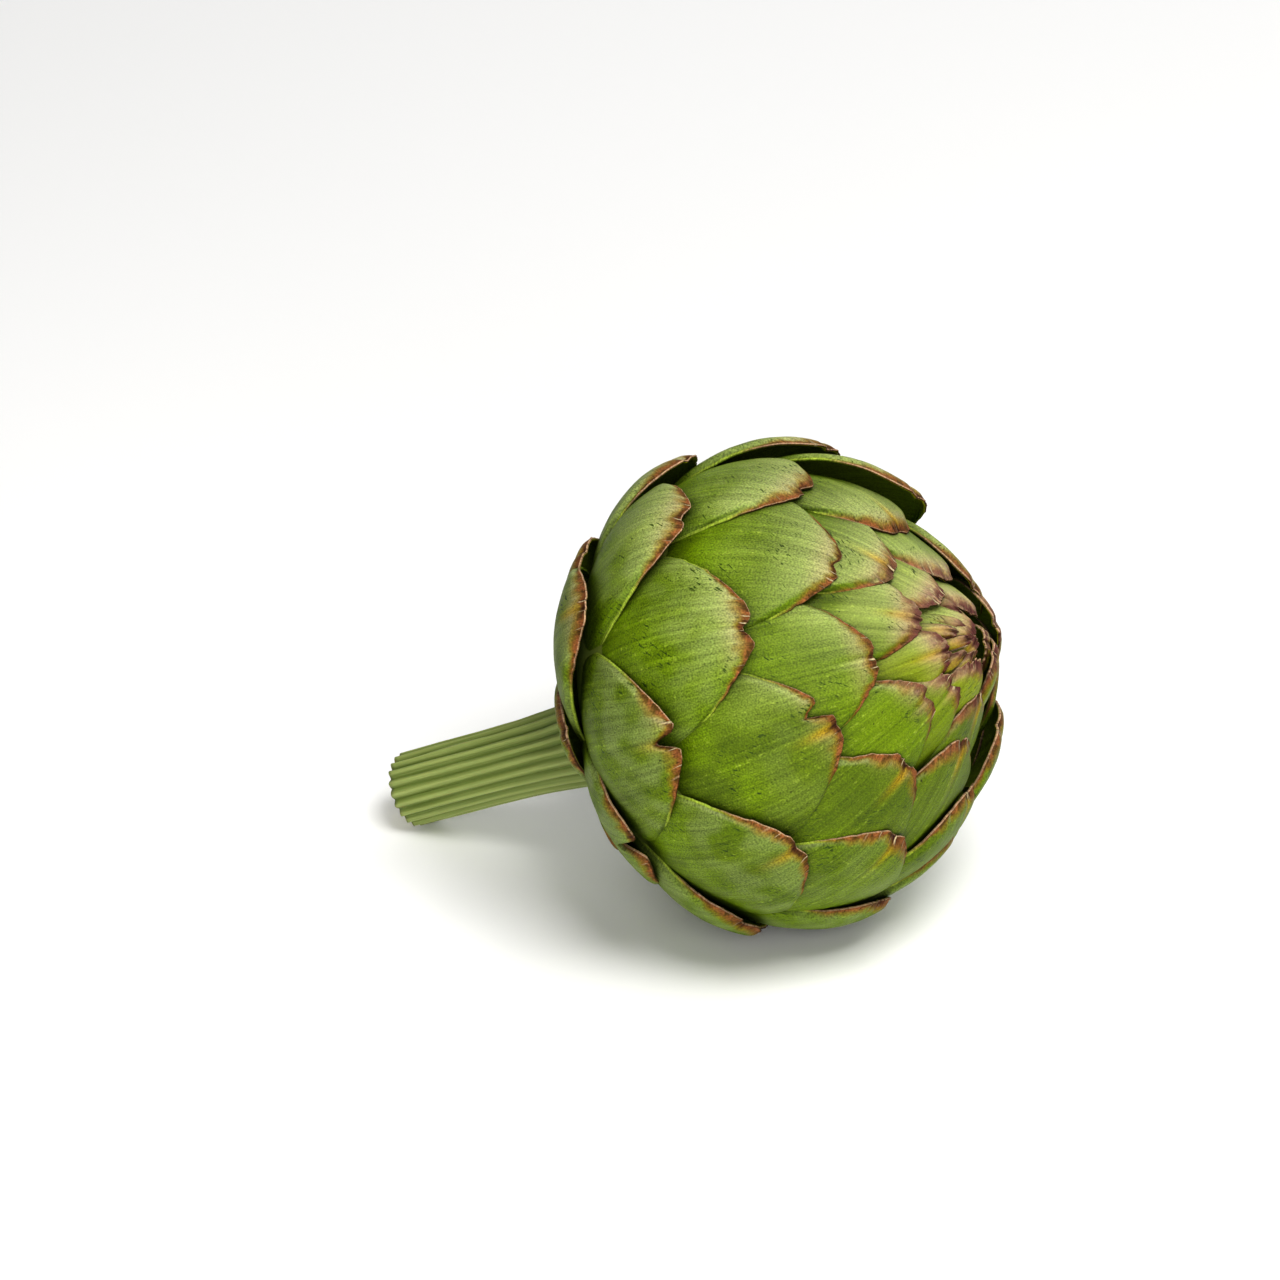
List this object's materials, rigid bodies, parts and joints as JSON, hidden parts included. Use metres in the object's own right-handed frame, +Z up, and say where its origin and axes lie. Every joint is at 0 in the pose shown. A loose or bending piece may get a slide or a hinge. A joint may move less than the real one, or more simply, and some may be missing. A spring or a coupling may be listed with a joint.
{
  "type": "globe artichoke",
  "caption": "Whole globe artichoke lying on its side: a round head of broad, overlapping, notched green bracts on a short ribbed stalk with a flat cut end.",
  "frame": {"origin": "on the surface that it lies on, under the middle of its outline", "axes": "+Z up, +X from the stalk's cut end towards the head's tip, which also points a little up, +Y across the head"},
  "size_m": [0.1517, 0.1147, 0.1101],
  "materials": {
    "bract": "satin green bracts with a pale waxy bloom and dry purple-brown edges",
    "stalk": "matte pale green ribbed stalk, downy in the grooves, paler and drier at the cut end"
  },
  "bodies": {
    "root": {"head": "bract", "stem": "stalk"}
  },
  "joints": []
}
